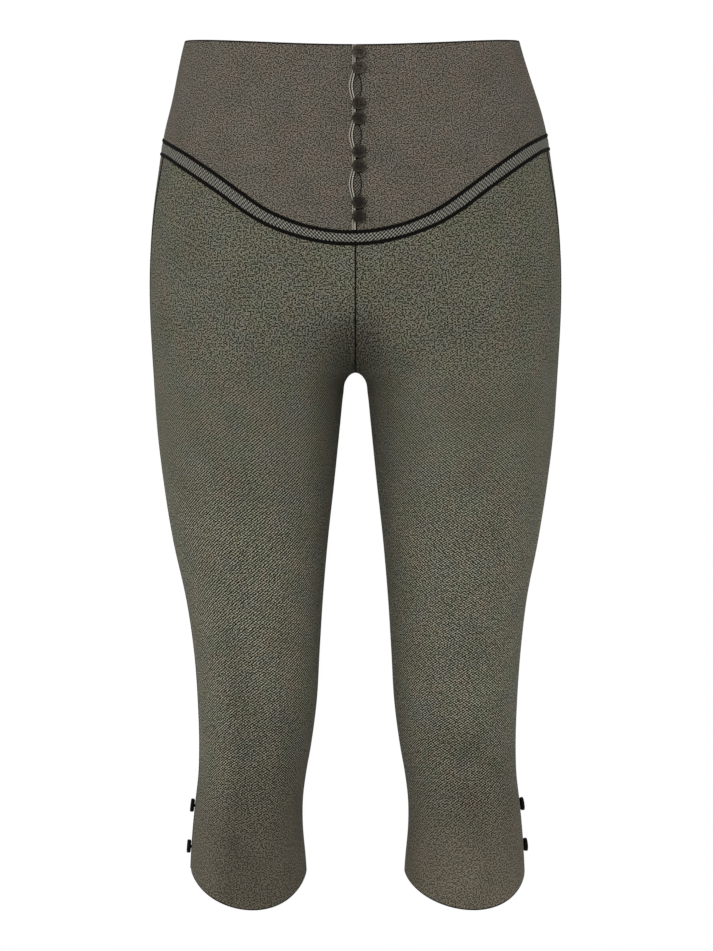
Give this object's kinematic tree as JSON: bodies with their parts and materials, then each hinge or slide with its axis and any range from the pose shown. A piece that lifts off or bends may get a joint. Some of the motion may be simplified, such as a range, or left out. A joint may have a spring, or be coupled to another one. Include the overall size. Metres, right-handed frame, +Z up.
{
  "type": "capri pants",
  "caption": "Fitted high-waist capri pants, worn form, deep yoke with a buttoned front closure, piped hip band, curved hems and cuff buttons.",
  "frame": {"origin": "middle of the waist opening, level with the top edge at its sides, where the wearer's waist holds the garment", "axes": "+Z up, the front faces -Y, the wearer's left leg is on +X"},
  "size_m": [0.3514, 0.2352, 0.7327],
  "materials": {
    "yoke_cloth": "matte fine two-tone twill, brownish grey",
    "leg_cloth": "matte fine two-tone twill, olive grey",
    "band_cloth": "matte, light and dark slanting dashes",
    "piping": "matte black corded piping",
    "loop": "fine rolled cord, grey",
    "button": "dark brown, four holes, soft shine"
  },
  "bodies": {
    "root": {"yoke_front_right": "yoke_cloth", "yoke_front_left": "yoke_cloth", "yoke_back": "yoke_cloth", "placket_underlap": "yoke_cloth", "band_front": "band_cloth", "band_back": "band_cloth", "piping_upper": "piping", "piping_lower": "piping", "piping_side_right": "piping", "piping_side_left": "piping", "leg_front_right": "leg_cloth", "leg_front_left": "leg_cloth", "leg_back_right": "leg_cloth", "leg_back_left": "leg_cloth", "loop_cord_inner": "loop", "loop_cord_outer": "loop", "front_button_1": "button", "front_button_2": "button", "front_button_3": "button", "front_button_4": "button", "front_button_5": "button", "front_button_6": "button", "front_button_7": "button", "front_button_8": "button", "cuff_button_right_upper": "button", "cuff_button_right_lower": "button", "cuff_button_left_upper": "button", "cuff_button_left_lower": "button"}
  },
  "joints": []
}
